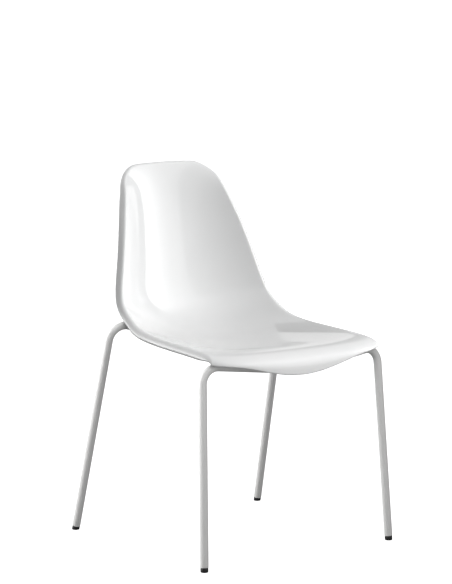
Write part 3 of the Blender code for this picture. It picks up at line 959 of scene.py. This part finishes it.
def makeFloor():
    bm = bmesh.new()
    bmesh.ops.create_grid(bm, x_segments=1, y_segments=1, size=studio["floorSize"] / 2)
    look = bpy.data.materials.new("paleStudioFloor")  # matt white, and clear from below
    look.use_nodes = True
    tree = look.node_tree
    tree.nodes.clear()
    place = addNode(tree, "ShaderNodeTexCoord").outputs["Object"]
    grain = addNode(tree, "ShaderNodeTexNoise", {
        "Vector": place, "Scale": 1000 / studio["floorGrainMm"], "Detail": 2.0})
    one, other = studio["floorTones"]
    tone = addNode(tree, "ShaderNodeMix", {
        "Factor": grain.outputs["Fac"], colourA: linear(one), colourB: linear(other)}, data_type="RGBA")
    matt = addNode(tree, "ShaderNodeBsdfDiffuse", {"Color": tone.outputs[colourOut]})
    glow = addNode(tree, "ShaderNodeEmission", {"Strength": studio["floorSeen"]})
    seen = addNode(tree, "ShaderNodeAddShader", {0: matt.outputs[0], 1: glow.outputs[0]})
    # a duller floor for every ray but the camera's, so that the chair's undersides stay shaded
    dull = addNode(tree, "ShaderNodeBsdfDiffuse", {"Color": linear(studio["floorBounce"])})
    ray = addNode(tree, "ShaderNodeLightPath")
    top = addNode(tree, "ShaderNodeMixShader", {
        0: ray.outputs["Is Camera Ray"], 1: dull.outputs[0], 2: seen.outputs[0]})
    clear = addNode(tree, "ShaderNodeBsdfTransparent")
    side = addNode(tree, "ShaderNodeNewGeometry")
    both = addNode(tree, "ShaderNodeMixShader", {
        0: side.outputs["Backfacing"], 1: top.outputs[0], 2: clear.outputs[0]})
    addNode(tree, "ShaderNodeOutputMaterial", {"Surface": both.outputs[0]})
    floor = meshObject("studio_floor", bm, look, False)


def makeBox(name, groups):
    # a softbox facing the chair, its glow running smoothly from one side to the other
    azimuth, elevation, distance, width, height, oneSide, otherSide, lit = studio["boxes"][name]
    topFade = studio["topFade"].get(name, 1.0)
    data = bpy.data.lights.new(name, "AREA")
    data.shape = "RECTANGLE"
    data.size, data.size_y = width, height
    data.energy = math.pi * width * height
    data.use_nodes = True
    tree = data.node_tree
    spot = addNode(tree, "ShaderNodeNewGeometry")
    across = addNode(tree, "ShaderNodeSeparateXYZ", {"Vector": spot.outputs["Parametric"]})
    fall = addNode(tree, "ShaderNodeMapRange", {
        "Value": across.outputs["X"], "To Min": oneSide, "To Max": otherSide},
        interpolation_type="SMOOTHSTEP")
    rise = addNode(tree, "ShaderNodeMapRange", {
        "Value": across.outputs["Y"], "From Min": studio["fadeStart"], "From Max": 1.0,
        "To Min": 1.0, "To Max": topFade},
        interpolation_type="SMOOTHSTEP")
    glow = addNode(tree, "ShaderNodeMath", {0: fall.outputs["Result"], 1: rise.outputs["Result"]},
                   operation="MULTIPLY")
    tree.links.new(glow.outputs[0], tree.nodes["Emission"].inputs["Strength"])
    made = bpy.data.objects.new(name, data)
    away = direction(azimuth, elevation)
    made.location = Vector(studio["aim"]) + away * distance
    made.rotation_euler = away.to_track_quat("Z", "Y").to_euler()
    bpy.context.scene.collection.objects.link(made)
    made.visible_glossy = name not in studio["matt"]
    if lit in groups:
        made.light_linking.receiver_collection = groups[lit]


def makeWorld():
    # an even glow all round with one soft, brighter patch low behind the chair
    world = bpy.data.worlds.new("white studio")
    world.use_nodes = True
    tree = world.node_tree
    look = addNode(tree, "ShaderNodeTexCoord").outputs["Generated"]
    azimuth, elevation, tightness, radiance = studio["rim"]
    near = addNode(tree, "ShaderNodeVectorMath", {0: look, 1: direction(azimuth, elevation)},
                   operation="DOT_PRODUCT")
    drop = addNode(tree, "ShaderNodeMath", {0: near.outputs["Value"], 1: tightness, 2: -tightness},
                   operation="MULTIPLY_ADD")
    fade = addNode(tree, "ShaderNodeMath", {0: drop.outputs[0]}, operation="EXPONENT")
    total = addNode(tree, "ShaderNodeMath", {0: fade.outputs[0], 1: radiance, 2: studio["base"]},
                    operation="MULTIPLY_ADD")
    sky = tree.nodes["Background"]
    sky.inputs["Color"].default_value = (1, 1, 1, 1)
    tree.links.new(total.outputs[0], sky.inputs["Strength"])
    bpy.context.scene.world = world


def makeCamera():
    data = bpy.data.cameras.new("camera")
    data.sensor_width = 36.0
    data.lens = camera["lens"]
    made = bpy.data.objects.new("camera", data)
    made.location = camera["place"]
    made.rotation_euler = (math.radians(90 - camera["pitch"]), 0, math.radians(camera["heading"]))
    bpy.context.scene.collection.objects.link(made)
    bpy.context.scene.camera = made


makeFloor()
# the glossy shell and the satin frame are lit by boxes of their own, so that each keeps its contrast
groups = {"shell": bpy.data.collections.new("lit shell"), "frame": bpy.data.collections.new("lit frame")}
for piece in bpy.context.scene.objects:
    if piece.type == "MESH" and piece.name != "studio_floor":
        groups["shell" if piece == moulded else "frame"].objects.link(piece)
for name in studio["boxes"]:
    makeBox(name, groups)
makeWorld()
makeCamera()
bpy.context.scene.view_settings.view_transform = "Standard"  # white stays white
print("studio made")

bpy.context.view_layer.update()
